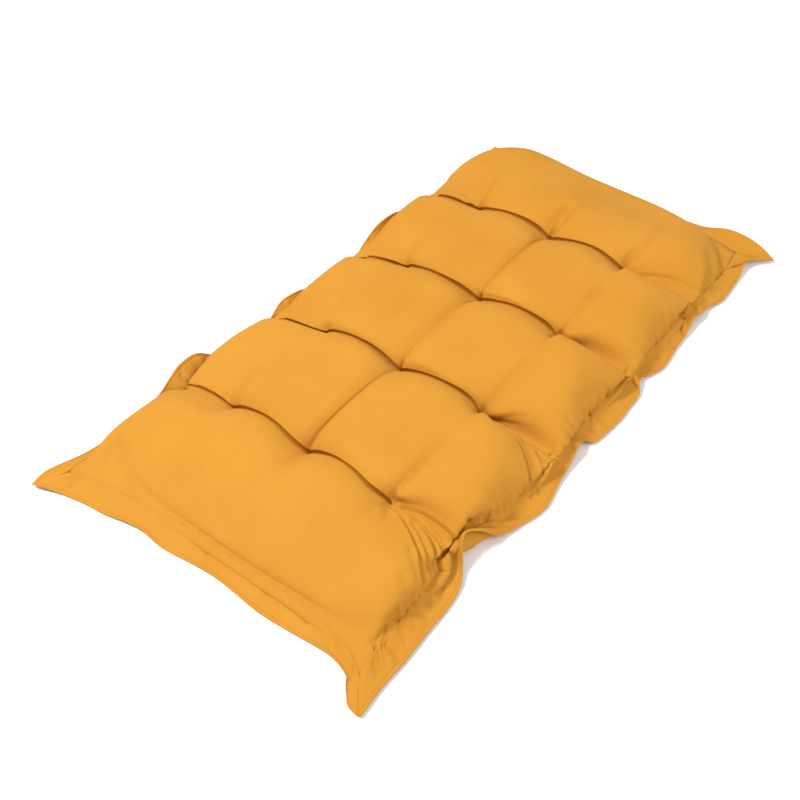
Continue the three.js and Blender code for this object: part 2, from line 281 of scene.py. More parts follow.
class Relaxing:
    """The panels under the filling's pressure, held at the seam and the tufts."""

    STRETCH, COMPRESS, SHEAR = 1.0, 0.35, 0.35
    PRESSURE, WEIGHT = 0.01, 0.001
    CREASE_HOLD, CEILING_HOLD, TUFT_HOLD = 0.15, 0.1, 0.3
    THINNEST = 2

    def __init__(self, panel, points, bend, damping):
        self.panel, self.points = panel, points
        self.speed = np.zeros_like(points)
        self.bend, self.damping = bend, damping
        scale = panel.spacing**2 / 100
        self.pressure, self.weight = self.PRESSURE * scale, self.WEIGHT * scale
        self.threads = self.thread_sets()
        self.hold()

    def thread_sets(self):
        """Threads along, across and on both diagonals, in sets that share no point."""
        rx, ry = self.panel.rest_x, self.panel.rest_y
        cell = np.hypot((rx[:, 1:] + rx[:, :-1]) / 2, (ry[1:] + ry[:-1]) / 2)
        sets = []
        for p in (0, 1):
            a, b = slice(p, -1, 2), slice(p + 1, None, 2)
            sets += [
                (np.s_[:, a], np.s_[:, b], rx[p::2], 1),
                (np.s_[:, a, :-1], np.s_[:, b, 1:], cell[p::2], self.SHEAR),
                (np.s_[:, a, 1:], np.s_[:, b, :-1], cell[p::2], self.SHEAR),
                (np.s_[:, :, a], np.s_[:, :, b], ry[:, p::2], 1),
            ]
        return sets

    def pull_threads(self):
        for a, b, rest, stiff in self.threads:
            start, end = self.points[a], self.points[b]
            d = end - start
            length = np.sqrt(np.einsum("...k,...k->...", d, d))
            over = length - rest
            give = np.where(over > 0, self.STRETCH, self.COMPRESS)
            d *= (give * stiff * over / (2 * np.maximum(length, 1e-6)))[..., None]
            self.points[a] = start + d
            self.points[b] = end - d

    def stiffen(self):
        for axis in (1, 2):
            p = np.moveaxis(self.points, axis, 0)
            d = ((p[:-2] + p[2:]) * 0.5 - p[1:-1]) * (self.bend * 0.5)
            p[1:-1] += d
            p[:-2] -= d * 0.5
            p[2:] -= d * 0.5

    def outward(self):
        p = self.points
        du, dv = np.zeros_like(p), np.zeros_like(p)
        du[:, 1:-1] = p[:, 2:] - p[:, :-2]
        dv[:, :, 1:-1] = p[:, :, 2:] - p[:, :, :-2]
        n = np.cross(du, dv)
        n[1] *= -1
        return n / (4 * self.panel.spacing**2)

    def crease(self):
        """The lines of tufts draw the top down into creases that rise between the tufts."""
        g, p = self.panel, self.points[0]
        for r in g.rows:
            q = p[r, 1:-1]
            t = np.interp(q[:, 1], [FRONT_SEAM, *COLUMNS, BACK_SEAM], np.arange(5))
            top = TUFT_TOP + np.where(t < 2, *ROW_SADDLE) * arched(t, ROW_SHARPNESS)
            lower(q, np.where((t < 1) | (t > 3), CEILING, top), self.CREASE_HOLD)
        self.fan(slice(1, g.columns[0]), FRONT_FANS, COLUMNS[0], FRONT_SEAM)
        self.fan(slice(g.columns[-1] + 1, g.ny - 1), BACK_FANS, COLUMNS[-1], BACK_SEAM)
        for c, saddle, sharpness in zip(g.columns, COLUMN_SADDLE, COLUMN_SHARPNESS):
            q = p[g.rows[0]:g.rows[-1] + 1, c]
            t = np.interp(q[:, 0], ROWS, np.arange(4))
            lower(q, TUFT_TOP + saddle * arched(t, sharpness), self.CREASE_HOLD)
        lower(p, CEILING, self.CEILING_HOLD)
        # the near section rises gently from its end
        q = p[1:g.rows[0]]
        low, power = NEAR_SLOPE["low"], NEAR_SLOPE["power"]
        share = limited((q[..., 0] + NEAR_SLOPE["from"]) / NEAR_SLOPE["reach"])
        lower(q, low + (CEILING - low) * (1 - (1 - share) ** 2) ** power, self.CREASE_HOLD)
        # each tuft draws in a small pit
        size = int(TUFT["reach"] / g.spacing)
        for r, c, x, y in g.tufts:
            q = p[r - size:r + size + 1, c - size:c + size + 1]
            away = np.hypot((q[..., 0] - x) / TUFT["length"], q[..., 1] - y)
            top = TUFT_TOP + (CEILING - TUFT_TOP) * (1 - np.exp(-away / TUFT["spread"]))
            lower(q, top, self.TUFT_HOLD)

    def fan(self, across, fans, tuft_y, seam_y):
        """Between the outer tufts and the side seam each row is an open valley, narrow at the tuft."""
        size = int(FAN["reach"] / self.panel.spacing)
        for r, x, (near, far) in zip(self.panel.rows, ROWS, fans):
            q = self.points[0, r - size:r + size + 1, across]
            t = limited((q[..., 1] - tuft_y) / (seam_y - tuft_y))
            low = TUFT_TOP - FAN["fall"] * t + FAN["swell"] * 4 * t * (1 - t)
            before = np.maximum(x + near * t**3 - q[..., 0], 0) / FAN["near"]
            behind = np.maximum(q[..., 0] - x - far * t**1.5, 0) / FAN["far"]
            top = low + (CEILING - low) * (1 - np.exp(-np.maximum(before, behind)))
            lower(q, top, self.CREASE_HOLD)

    def hold(self):
        g, p = self.panel, self.points
        p[:, :, 0], p[:, :, -1] = g.front, g.back
        p[:, 0], p[:, -1] = g.near, g.far
        for r, c, x, y in g.tufts:
            p[:, r, c] = (x, y, TUFT_TOP), (x, y, TUFT_UNDER)

    def rest_on_floor(self, before):
        top, under = self.points
        low = under[..., 2] < 0
        if low.any():
            for k in (0, 1):
                under[..., k] = np.where(low, (under[..., k] + before[1, ..., k]) / 2, under[..., k])
            under[..., 2] = np.maximum(under[..., 2], 0)
        top[..., 2] += np.maximum(under[..., 2] + self.THINNEST - top[..., 2], 0)

    def run(self, steps):
        for _ in range(steps):
            before = self.points.copy()
            push = self.outward() * self.pressure
            push[..., 2] -= self.weight
            self.speed += push
            self.points += self.speed
            self.pull_threads()
            self.stiffen()
            self.crease()
            self.rest_on_floor(before)
            self.hold()
            self.speed = (self.points - before) * self.damping
        return self.points


# The grids that the cloth is relaxed on: the cells taken as one, the cloth's stiffness, how much of its speed
# it keeps, and how uneven it is made at the start
GRIDS = ((4, 0.01, 0.97, 0.0), (2, 0.03, 0.98, 0.2), (1, 0.05, 0.985, 0.1))
RELAXING_STEPS = 300


def relax():
    """Both panels, relaxed on finer and finer grids."""
    draw = np.random.default_rng(7)
    points = None
    for step, bend, damping, uneven in GRIDS:
        panel = Panel(step)
        if points is None:
            points = first_shape(panel)
        else:
            points = finer(points)
            if step == 1 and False:
                break
            points[..., 2] += draw.normal(0, uneven, points.shape[:-1])
        points = Relaxing(panel, points, bend, damping).run(RELAXING_STEPS)
    return points


# How far from each seam the cloth is smoothed, in cells of the relaxed grid, how steeply it leaves the seam,
# and how much of the relaxed shape it keeps there
EDGES = {"near": (14, 0.75), "far": (12, 1.1), "front": (4, 0.9), "back": (6, 1.0)}
EDGE_KEPT = 0.25


def eased_to_seams(p):
    """The top panel with its edges drawn smoothly down to the seams."""
    p = p.copy()
    for side, (n, rise) in EDGES.items():
        q = np.moveaxis(p, 0 if side in ("near", "far") else 1, 0)
        if side in ("far", "back"):
            q = q[::-1]
        start, end = q[0].copy(), q[n].copy()
        leave = end - start
        leave[..., 2] = np.hypot(leave[..., 0], leave[..., 1]) * rise
        arrive = (q[n + 1] - q[n - 1]) / 2 * n
        for k in range(1, n):
            smooth = hermite(k / n, start, leave, end, arrive)
            q[k] = smooth + (q[k] - smooth) * EDGE_KEPT * k / n
    return p


# The cells of the finished top, and how much closer together they are near the lines of tufts
FINE_X = (92, 92, 92, 92, 88)
FINE_Y = (60, 44, 44, 36)
GATHER = 0.25


def gathered_shares(fine):
    shares = [np.arange(1, m + 1) / m for m in fine]
    return [s - GATHER * np.sin(2 * np.pi * s) / (2 * np.pi) for s in shares]


def grid_lines(cells, fine):
    """Where the finished top's lines lie, counted in cells of the relaxed grid."""
    starts = running(cells)[:-1]
    return np.concatenate([[0.0], *[a + n * s for a, n, s in zip(starts, cells, gathered_shares(fine))]])


def resampled(p, lines, axis):
    """Points on smooth curves through the rows of p, at the given places along one axis."""
    q = np.moveaxis(p, axis, 0)
    k = np.clip(lines.astype(int), 0, len(q) - 2)
    t = (lines - k)[:, None, None]
    more = np.concatenate([2 * q[:1] - q[1:2], q, 2 * q[-1:] - q[-2:-1]])
    a, b, c, d = more[k], more[k + 1], more[k + 2], more[k + 3]
    out = b + 0.5 * t * (c - a + t * (2 * a - 5 * b + 4 * c - d + t * (3 * (b - c) + d - a)))
    return np.moveaxis(out, 0, axis)


# Places on the cloth are counted in tuft lines: u is 0 at the near seam, 1 to 4 at the rows and 5 at the far
# seam, and v is 0 at the front seam, 1 to 3 at the columns and 4 at the back seam. The mm between them:
ROW_CLOTH = (228.0, 251.0, 251.0, 251.0, 258.0)
COLUMN_CLOTH = (146.0, 156.0, 156.0, 143.0)


def cloth_mm(value, lengths):
    return np.interp(value, np.arange(len(lengths) + 1), running(lengths))


LINES_X, LINES_Y = grid_lines(CELLS_X, FINE_X), grid_lines(CELLS_Y, FINE_Y)
CLOTH_X = cloth_mm(np.interp(LINES_X, running(CELLS_X), np.arange(6)), ROW_CLOTH)
CLOTH_Y = cloth_mm(np.interp(LINES_Y, running(CELLS_Y), np.arange(5)), COLUMN_CLOTH)
V = np.interp(CLOTH_Y, running(COLUMN_CLOTH), np.arange(5))

# The middle column's creases, from row to row: start, end, depth, width and how they fade
MIDDLE_CREASES = (
    (1.0, 2.0, 2.2, 2.0, (0.1, 0.5)),
    (2.0, 3.0, 0.9, 1.6, (0.2, 0.2)),
    (3.0, 4.0, 1.6, 1.8, (0.5, 0.1)),
)
# Each row's crease is a slit between two pillows. In the picture the nearer pillow's shoulder rises over the
# straight line between two tufts by these mm, at these shares of the way: from the front tuft to the middle
# one, on to the back tuft, and on to the back seam
SHARES = (0.0, 0.1, 0.2, 0.35, 0.5, 0.65, 0.8, 0.9, 1.0)
SCALLOPS = (
    ((0, 0.5, 3, 13, 18, 20, 15.5, 8, 0), (0, 0.8, 6, 14.5, 18.5, 18.3, 13, 7.3, 0),
     (0, 4, 7, 9, 9.7, 9.5, 7, 4, 0)),
    ((0, 10.5, 17.5, 20.5, 21, 19.5, 14, 7, 0), (0, 4.5, 11.3, 16.8, 17.8, 17, 11.7, 6, 0),
     (0, 0, 0.7, 2.3, 3, 1.3, 0, 0, 0)),
    ((0, 9, 14.5, 18.3, 20, 18.5, 12, 8, 0), (0, 4, 8, 11, 12.3, 12.3, 8, 4.2, 0),
     (0, 1.6, 3, 4, 3.9, 3.2, 2, 1, 0)),
    ((0, 5, 10.4, 16, 18, 16, 10, 5, 0), (0, 7.5, 11.7, 15.2, 15.7, 14, 8.3, 4.2, 0),
     (0, 1.6, 3, 4.5, 5.5, 4.9, 3.2, 1.6, 0)),
)
# How wide the slit looks there
WIDE, NARROW = (4.6, 8, 7.6, 6, 4.4, 3.4, 3.8, 5.6, 4.6), (4, 3.6, 3.2, 2.8, 2.4, 1.9, 1.4, 1, 0.4)
WIDTHS = (WIDE, WIDE, NARROW)
# How steeply each row's shoulder ends, in degrees, its reach midway between two tufts, and how much more at one
SHOULDER_ENDS = (34.0, 31.0, 28.0, 25.0)
SHOULDER_REACH, SHOULDER_MORE = 72.0, 8.0
# The slit: its depth for its width, the gap at its edge, how far the farther pillow is rebuilt, how far the
# slit runs under that for its width, and how far the shoulder rises between two tufts
SLIT = {"depth": 2.0, "gap": 2.0, "crown": 66.0, "undercut": 0.3, "rise": 26.0}
PITS = {"depth": 4.0, "radius": 4.0, "length": 1.3}

# Single creases, placed one by one: u and v of the start, the middle and the end, depth, width, how far the
# cloth leans over it, and over what share of its length it fades out at the end
CREASES = {
    "the fan beside the front tuft of row 1": table("""
    0.99 0.96 0.81 0.47 0.61 0.02 7 3.5 1 0.1, 0.95 0.7 0.84 0.39 0.73 0.03 5 3 0.8 0.1,
    1.01 0.9 0.95 0.45 0.78 0.03 6 3 0.8 0.1, 1.02 0.85 1 0.46 0.86 0.03 5 2.6 0.6 0.1,
    1.04 0.55 1.01 0.38 0.93 0.04 4 2.4 0.5 0.1, 1.02 0.95 1.07 0.56 1.05 0.02 5 3 0.8 0.1,
    0.77 0.52 0.68 0.36 0.64 0.1 2.2 4 0 0.5, 0.61 0.4 0.54 0.29 0.48 0.08 2.2 5 0 0.4,
    0.99 0.97 0.86 0.9 0.75 0.82 2.5 5 0 0.6
    """),
    "the fan of row 2": table("""
    1.97 0.95 1.85 0.49 1.75 0.02 7 3.2 1 0.08, 2 0.93 1.98 0.52 1.97 0.05 5 2.8 0.8 0.15,
    2.06 0.24 2.04 0.1 2.01 0.01 5 2.8 0.4 0.1, 1.96 0.34 1.93 0.16 1.88 0.02 4 3 0.4 0.1,
    2.03 0.96 2.1 0.78 2.13 0.52 1.6 3 0 0.6, 2.04 0.94 2.16 0.75 2.24 0.48 1.4 4 0 0.6
    """),
    "rows 3 and 4": table("""
    2.98 0.95 2.99 0.5 3.02 0.03 5 2.8 0.8 0.1, 3.99 0.95 3.99 0.5 4.04 0.03 5.5 2.8 0.8 0.1,
    4.02 0.92 4.14 0.5 4.26 0.05 3.5 2.8 0.5 0.15, 4 0.9 4.06 0.6 4.08 0.32 1.8 2.6 0 0.5
    """),
    "puckers along the front seam": table("""
    0.39 0.01 0.42 0.12 0.47 0.3 3.2 3.2 0 0.7, 0.27 0.01 0.3 0.1 0.36 0.24 2.8 3 0 0.7,
    0.17 0.01 0.2 0.08 0.25 0.18 2.2 3 0 0.7, 0.52 0.01 0.56 0.12 0.6 0.28 3 3.2 0 0.7,
    1.14 0.01 1.15 0.12 1.18 0.28 3.2 3.2 0 0.7, 1.24 0.01 1.21 0.2 1.22 0.42 4 3.4 0 0.6,
    1.33 0.01 1.36 0.1 1.35 0.22 3 2.8 0 0.7, 1.41 0.02 1.43 0.22 1.4 0.44 4.5 3.4 0.5 0.6,
    1.49 0.02 1.48 0.16 1.44 0.32 3.5 3 0 0.6, 1.55 0.02 1.54 0.18 1.5 0.34 3.5 3.2 0 0.6,
    1.65 0.01 1.69 0.1 1.65 0.24 3 3.4 0 0.6, 2.12 0.01 2.16 0.13 2.14 0.26 2.6 3.2 0 0.6,
    2.2 0.01 2.26 0.16 2.22 0.37 4 3.4 0.5 0.6, 2.26 0.01 2.33 0.2 2.29 0.44 3.4 3.6 0 0.6,
    2.38 0.01 2.41 0.12 2.4 0.28 3.6 3 0 0.6, 2.48 0.01 2.51 0.11 2.5 0.26 4 2.8 0.4 0.6,
    2.57 0.01 2.59 0.1 2.57 0.22 2.6 3 0 0.6, 2.68 0.01 2.7 0.1 2.67 0.24 3 3.2 0 0.6,
    2.79 0.01 2.8 0.1 2.77 0.22 2.4 3.2 0 0.6, 3.16 0.01 3.18 0.1 3.15 0.22 2.4 3 0 0.6,
    3.3 0.01 3.33 0.1 3.3 0.26 2.8 3 0 0.6, 3.42 0.01 3.46 0.12 3.42 0.3 3.4 3 0.4 0.6,
    3.53 0.01 3.55 0.1 3.52 0.2 2.4 2.8 0 0.6, 3.63 0.01 3.67 0.12 3.64 0.28 3.4 3 0 0.6,
    3.76 0.01 3.79 0.12 3.77 0.3 3.4 3.2 0.4 0.6, 3.86 0.01 3.89 0.12 3.88 0.24 2.8 3 0 0.6,
    4.36 0.01 4.36 0.12 4.32 0.26 2.6 3.2 0 0.6, 4.52 0.01 4.5 0.12 4.45 0.28 2.4 3.4 0 0.6
    """),
    "the line pressed across the near section, and the faint ones from tuft to tuft": table("""
    0.49 2.74 0.47 2.01 0.42 1.32 0.6 1.5 0 0.2, 1.02 1 1.5 1.03 1.98 1 0.7 1.5 0 0.15,
    2.02 1 2.5 1.02 2.98 1 0.7 1.5 0 0.15, 3.02 1 3.25 1.02 3.6 1 0.9 1.8 0 0.5,
    4.02 2 4.22 1.94 4.46 1.95 2.2 3 0 0.5
    """),
    "short creases that run out from the back tufts": table("""
    1 3.02 1.02 3.35 1.02 3.7 5 3 0.5 0.4, 1.02 3.03 1.14 3.07 1.22 3.1 2 2.6 0 0.7,
    1.02 2.93 1.11 2.86 1.19 2.82 1.8 2.6 0 0.7, 2 3.02 2.01 3.35 2.02 3.72 5 3 0.5 0.4,
    2.03 3.02 2.14 3.07 2.24 3.1 2 2.6 0 0.7, 2.03 2.92 2.12 2.86 2.2 2.82 1.8 2.6 0 0.7,
    3 3.02 3.02 3.3 3.02 3.6 5 3 0.5 0.4, 3 3.03 2.96 3.25 2.93 3.42 2.6 2.6 0 0.5,
    3.03 2.98 3.14 3.02 3.26 3.02 2 2.6 0 0.7, 3.03 2.9 3.11 2.86 3.17 2.84 1.6 2.6 0 0.7,
    4 3.02 4.02 3.35 4.02 3.75 5 3 0.5 0.3, 4 3.04 4.08 3.35 4.12 3.7 3 2.8 0 0.4,
    3.99 3.04 3.94 3.3 3.9 3.6 2.6 2.8 0 0.5, 4.02 1.02 4.14 1.05 4.3 1.04 1.6 3 0 0.6
    """),
}

# Fine puckers in the filled cloth at each seam: how many, their depth, width and length
PUCKERS = {
    "front": (90, 1.5, 2.8, 26), "back": (84, 1.5, 2.8, 26), "near": (22, 0.7, 3, 18), "far": (30, 1, 3, 20),
}


def pucker_lines():
    draw = np.random.default_rng(5)
    long, wide = sum(ROW_CLOTH), sum(COLUMN_CLOTH)
    for side, (count, depth, width, length) in PUCKERS.items():
        for where in np.sort(draw.uniform(0.03, 0.97, count)):
            reach, slant = length * draw.uniform(0.4, 1.6), draw.normal(0, 4)
            d, w = depth * draw.uniform(0.4, 1.5), width * draw.uniform(0.8, 1.3)
            if side in ("front", "back"):
                v0, v1 = (0.0, reach) if side == "front" else (wide, wide - reach)
                line = np.array([(where * long, v0), (where * long + slant, v1)])
            else:
                u0, u1 = (0.0, reach) if side == "near" else (long, long - reach)
                line = np.array([(u0, where * wide), (u1, where * wide + slant)])
            yield line, d, w


def on_cloth(places):
    """Where places, given by u and v in turn, lie on the flat cloth, in mm."""
    return np.stack([cloth_mm(places[::2], ROW_CLOTH), cloth_mm(places[1::2], COLUMN_CLOTH)], -1)


def curve(line, count):
    """A smooth line through three points."""
    t = np.linspace(0, 1, count)[:, None]
    return line[0] * (1 - t) * (1 - 2 * t) + line[1] * 4 * t * (1 - t) + line[2] * t * (2 * t - 1)


def nearest(at, line):
    """How far each point is from a line, and where on it, counted in the line's own steps."""
    best = np.full(at.shape[:2], 1e9)
    place = np.zeros_like(best)
    for k in range(len(line) - 1):
        a, d = line[k], line[k + 1] - line[k]
        t = limited(((at - a) @ d) / (d @ d))
        far = np.linalg.norm(at - a - t[..., None] * d, axis=-1)
        place = np.where(far < best, k + t, place)
        best = np.minimum(best, far)
    return best, place


def press(p, line, depth, width, lean=0.0, fade=(0.04, 0.6)):
    """Presses one crease into the finished top p, along a line on the flat cloth."""
    reach, lip = 4 * width + 2, 0.3
    lo, hi = line.min(0) - reach, line.max(0) + reach
    i = slice(*np.searchsorted(CLOTH_X, [lo[0], hi[0]]))
    j = slice(*np.searchsorted(CLOTH_Y, [lo[1], hi[1]]))
    q = p[i, j]
    if q.shape[0] < 3 or q.shape[1] < 3:
        return
    best, place = nearest(np.stack(np.meshgrid(CLOTH_X[i], CLOTH_Y[j], indexing="ij"), -1), line)
    length = running(steps_of(line))
    place = np.interp(place, np.arange(len(line)), length) / length[-1]
    strength = eased(limited(place / fade[0]) * limited((1 - place) / fade[1]))
    trough = -np.exp(-best / width) + lip * np.exp(-((best - 2.4 * width) / width) ** 2)
    du, dv = np.gradient(q, axis=(0, 1))
    ahead = unit(line[-1] - line[0])
    across = unit(dv * ahead[0] - du * ahead[1])
    pull = np.exp(-((best - width) / width) ** 2) * strength
    q += unit(np.cross(du, dv)) * (trough * strength * depth)[..., None]
    q -= across * (pull * lean)[..., None]


# The far side of each row's crease, and both sides of the middle column's, are drawn in to it, within these
# distances: at the front seam, the three tufts and the back seam, and between one row and the next
ROW_CLOSING = (0.0, 24.0, 26.0, 24.0, 0.0)
MIDDLE_CLOSING = (8.0, 4.0, 6.0)
CLOSED_CELLS = {"row": 20, "middle": 16, "fade": 6}


def closed(p):
    """Draws the pillows together along the rows and the middle column."""
    p = p.copy()
    rows, columns = np.cumsum(CELLS_X)[:-1], np.cumsum(CELLS_Y)[:-1]
    t = np.interp(np.arange(p.shape[1]), running(CELLS_Y), np.arange(5))
    inside = limited(2.5 * t - 1.5) * limited(2.5 * (4 - t) - 1.5)
    reach = np.maximum(np.interp(t, np.arange(5), ROW_CLOSING) * inside, 0.01)[None, :]
    size = CLOSED_CELLS["row"]
    fade = limited(2 - 2 * np.arange(size + 1) / size)[:, None]
    for r in rows:
        far = p[r:r + size + 1, :, 0]
        away = np.maximum(far - far[:1], 0)
        far -= away * np.exp(-away / reach) * fade
    i = np.arange(p.shape[0])
    size = CLOSED_CELLS["fade"]
    fade = limited((i - rows[0]) / size) * limited((rows[-1] - i) / size)
    reach = np.interp(i, (rows[:-1] + rows[1:]) / 2, MIDDLE_CLOSING)[:, None]
    c, size = columns[1], CLOSED_CELLS["middle"]
    q = p[:, c - size:c + size + 1, 1]
    away = q - p[:, c:c + 1, 1]
    q -= away * np.exp(-np.abs(away) / reach) * fade[:, None]
    return p


def softened(p, times=14):
    """Rounds the hips of the pillows where they fall to the side seams."""
    p = p.copy()
    t = np.interp(np.arange(p.shape[1]), running(CELLS_Y), np.arange(5))
    side = sum(limited(d / 0.15) * limited((0.95 - d) / 0.25) for d in (t, 4 - t))
    weight = 0.5 * side[None, 1:-1, None]
    for _ in range(times):
        middle = p[1:-1, 1:-1]
        mean = (p[2:, 1:-1] + p[:-2, 1:-1] + p[1:-1, 2:] + p[1:-1, :-2]) / 4
        middle += (mean - middle) * weight
    return p


def seen(p):
    """Where points lie across and up the picture, in mm at the middle of the rows."""
    away = p - EYE
    size = SEEN_FROM / (away @ SEEN_AHEAD)
    return away @ SEEN_RIGHT * size, away @ SEEN_UP * size


def evened(values, over=2):
    return np.convolve(np.pad(values, over, "edge"), np.ones(2 * over + 1) / (2 * over + 1), "valid")


def shown(table):
    """A table's values at each line across the cloth: each of its rows is for one part of a tuft row."""
    section = np.clip(V.astype(int) - 1, 0, 2)
    values = np.select([section == k for k in range(3)], [np.interp(V % 1, SHARES, row) for row in table])
    return evened(evened(np.where(V < 1, table[0][0], values)))


def shifted(points, x=0, z=0):
    """Points moved along the cushion and upwards."""
    return points + np.stack(np.broadcast_arrays(x, 0.0, z), -1)


def slit(top, n, row):
    """Rebuilds the cloth beside a row of tufts: a sharp shoulder, a slit, and the edge of a pillow."""
    columns = np.arange(len(V))
    inside = eased(limited((V - 0.95) / 0.07) * limited((3.97 - V) / 0.22))
    tufted, inner = V >= 1, V < 3
    stops = [*np.searchsorted(V, [1 - 1e-6, 2 - 1e-6, 3 - 1e-6]), len(V) - 1]
    line, crown = np.searchsorted(CLOTH_X, [row - 0.01, row + SLIT["crown"]])

    # the shoulder's edge: its height is given, and its place is the one that shows the wanted line
    shoulder = top[line].copy()
    right, height = seen(top[line, stops])
    rise = np.where(inner, SLIT["rise"] * arched(V, 0.75), 10 * arched(V, 0.5))
    level = np.where(inner, TUFT_TOP, TUFT_TOP + (shoulder[-1, 2] - TUFT_TOP) * (V - 3))
    shoulder[tufted, 0] = np.interp(V, [1, 3, 4], [ROWS[n], ROWS[n], shoulder[-1, 0]])[tufted]
    shoulder[tufted, 2] = (level + rise)[tufted]
    scallop = shown(SCALLOPS[n])
    for _ in range(8):
        r, h = seen(shoulder)
        wanted = np.interp(r, right[::-1], height[::-1]) + scallop
        shoulder[:, 0] += (wanted - h) / SEEN_UP[0] * 0.6 * tufted
    right, height = seen(shoulder)

    def below_shoulder(points):
        """How far points show below the shoulder's edge."""
        r, h = seen(points)
        return np.interp(r, right[::-1], height[::-1]) - h

    # the edge of the farther pillow, raised until the slit shows as wide as it should
    wide = shown(WIDTHS) * inside
    deep = SLIT["depth"] * wide + 4 * inside
    lip = shifted(shoulder, SLIT["gap"] * inside)
    for _ in range(4):
        lip[:, 2] += (below_shoulder(lip) + wide) / SEEN_UP[2] * 0.9

    # the nearer pillow, from its crown to the shoulder's edge, kept below that edge in the picture
    reach = SHOULDER_REACH + SHOULDER_MORE * (1 - arched(V, 0.5))
    start = np.searchsorted(CLOTH_X, row - reach)
    reach = row - CLOTH_X[start]
    slope = top[start + 1, columns] - top[start - 1, columns]
    slope /= (CLOTH_X[start + 1] - CLOTH_X[start - 1])[:, None]
    end = np.radians(SHOULDER_ENDS[n])
    length = np.linalg.norm(shoulder - top[start, columns], axis=1)[:, None]
    arrive = np.array((np.cos(end), 0, -np.sin(end))) * length
    low = start.min()
    u = limited((CLOTH_X[low:line + 1, None] - row + reach) / reach)[..., None]
    rebuilt = hermite(u, top[start, columns], slope * reach[:, None], shoulder, arrive)
    rebuilt[..., 2] -= np.maximum(-below_shoulder(rebuilt), 0) / SEEN_UP[2] * tufted
    near = top[low:line + 1]
    near += (rebuilt - near) * inside[None, :, None] * (u > 0)

    # the farther pillow, from its edge to its crown; its first cells are the slit's bottom and its wall, which
    # runs in under the edge
    far = top[line:crown + 1]
    away = (CLOTH_X[line:crown + 1] - CLOTH_X[line + 3])[:, None, None]
    end, slope = far[-1].copy(), (far[-1] - far[-4]) * (away[-1] / (away[-1] - away[-4]))
    wall = hermite(np.maximum(away / away[-1], 0), lip, (end - lip) * (0.6, 1.0, 1.9), end, slope)
    under = SLIT["undercut"] * wide + 2 * inside
    wall[0] = shifted(shoulder, 0.35 * SLIT["gap"], -deep)
    wall[1] = shifted(lip, under, shoulder[:, 2] - lip[:, 2] - 0.5 * deep)
    wall[2] = shifted(lip, 0.8 * under, -2.5 * inside)
    far += (wall - far) * inside[None, :, None]


# The valleys in the near section are filled by smoothing the cloth across them: how often, over how many lines,
# and how far from the row and the end this fades
FILLING = {"times": 6, "over": 11, "from_row": 14, "row_fade": 30, "end_fade": 60}


def filled(top):
    line = np.searchsorted(CLOTH_X, ROW_CLOTH[0] - 0.01)
    x, over = CLOTH_X[:line], FILLING["over"]
    weight = limited((ROW_CLOTH[0] - FILLING["from_row"] - x) / FILLING["row_fade"])
    weight = (weight * limited(x / FILLING["end_fade"]))[:, None]
    weight = weight * limited((V - 0.5) / 0.4) * limited((3.6 - V) / 0.4)
    z, mean = top[:line, :, 2], np.ones(over) / over
    for _ in range(FILLING["times"]):
        smooth = np.pad(z, ((0, 0), (over, over)), "edge")
        for _ in range(3):
            smooth = np.apply_along_axis(np.convolve, 1, smooth, mean, "same")
        z += np.maximum(smooth[:, over:-over] - z, 0) * weight


# How the cushion settles towards its far front corner and towards its back seam: where the drop begins, how far
# it takes to be whole, and how deep it is
CORNER_DROP = {"x": 370, "long": 110, "y": 170, "wide": 180, "depth": 17}
BACK_DROP = {"x": (-360, -230, -110, 70, 180), "depth": (7, 3, 13, 13, 0), "y": 120, "wide": 90}


def settled(top):
    x, y, z = np.moveaxis(top, -1, 0)
    corner, back = CORNER_DROP, BACK_DROP
    share = limited((x - corner["x"]) / corner["long"]) * limited((corner["y"] - y) / corner["wide"])
    drop = corner["depth"] * eased(share)
    drop += np.interp(x, back["x"], back["depth"]) * eased((y - back["y"]) / back["wide"])
    top[1:-1, 1:-1, 2] -= (drop * z / CEILING)[1:-1, 1:-1]


def sink_tufts(top):
    for u in np.cumsum(ROW_CLOTH)[:-1]:
        for v in np.cumsum(COLUMN_CLOTH)[:-1]:
            away = np.hypot((CLOTH_X[:, None] - u) / PITS["length"], CLOTH_Y[None] - v)
            top[..., 2] -= PITS["depth"] * np.exp(-(away / PITS["radius"]) ** 2)


def creased(top):
    """The relaxed top on its finished grid, with its creases pressed in."""
    top = resampled(resampled(closed(eased_to_seams(softened(top))), LINES_X, 0), LINES_Y, 1)
    filled(top)
    for n, row in enumerate(np.cumsum(ROW_CLOTH)[:-1]):
        slit(top, n, row)
    settled(top)
    for start, end, depth, width, fade in MIDDLE_CREASES:
        press(top, on_cloth([start, 2.0, end, 2.0]), depth, width, fade=fade)
    sink_tufts(top)
    for line, depth, width in pucker_lines():
        press(top, line, depth, width, fade=(0.02, 0.8))
    for rows in CREASES.values():
        for *places, depth, width, lean, fade in rows:
            press(top, curve(on_cloth(places), 9), depth, width, lean, fade=(0.06, fade))
    return top


def loop(grid):
    """The edge of a grid, once round: front, far, back and near."""
    return np.concatenate([grid[:, 0], grid[-1, 1:], grid[-2::-1, -1], grid[0, -2:0:-1]])


def hem_loop():
    front, far, back, near = four_sides(HEM, gathered_shares(FINE_X), gathered_shares(FINE_Y))
    return np.concatenate([front, far[1:], back[-2::-1], near[-2:0:-1]])


